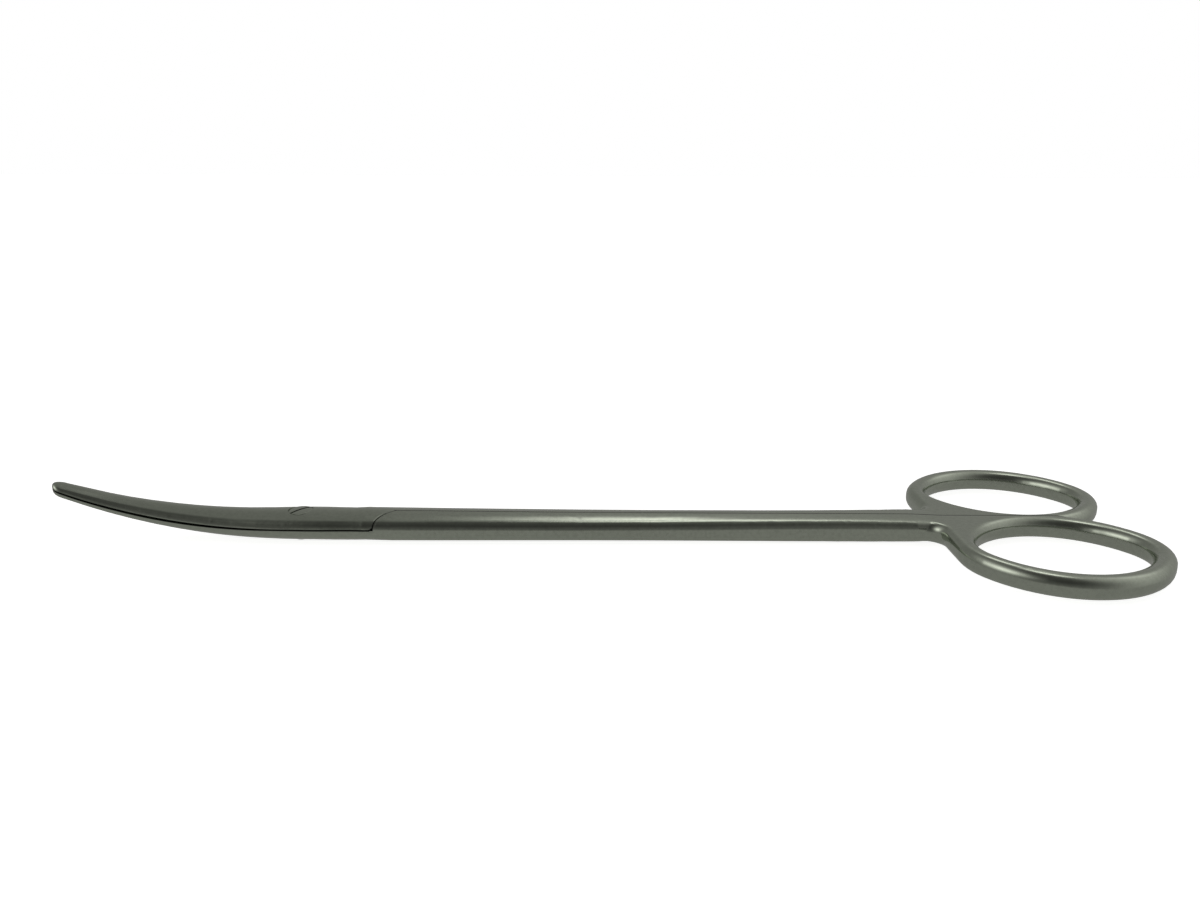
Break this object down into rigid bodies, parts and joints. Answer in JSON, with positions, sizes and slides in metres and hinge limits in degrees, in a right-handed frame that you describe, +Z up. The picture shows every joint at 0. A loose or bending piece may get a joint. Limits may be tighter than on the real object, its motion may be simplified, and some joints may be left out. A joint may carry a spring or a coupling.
{
  "type": "dissecting scissors",
  "caption": "Slim dissecting scissors with short upward-curved blunt blades, a slotted pivot screw, long straight shanks and oval finger rings.",
  "frame": {"origin": "on the pivot screw's axis, in the resting plane under the joint", "axes": "+X from the pivot towards the finger rings, +Z up, along the pivot axis away from the surface it lies on, +Y towards the ring of the upper half"},
  "size_m": [0.1794, 0.0512, 0.0096],
  "materials": {
    "satin_steel": "satin, glass-bead blasted",
    "screw_steel": "satin, ground flush"
  },
  "bodies": {
    "lower": {"lower_half": "satin_steel", "pivot_screw": "screw_steel"},
    "upper": {"upper_half": "satin_steel"}
  },
  "joints": [
    {"name": "pivot", "type": "hinge", "parent": "lower", "child": "upper", "pos_m": [0, 0, 0], "axis": [0, 0, 1], "range_deg": [0, 130]}
  ]
}
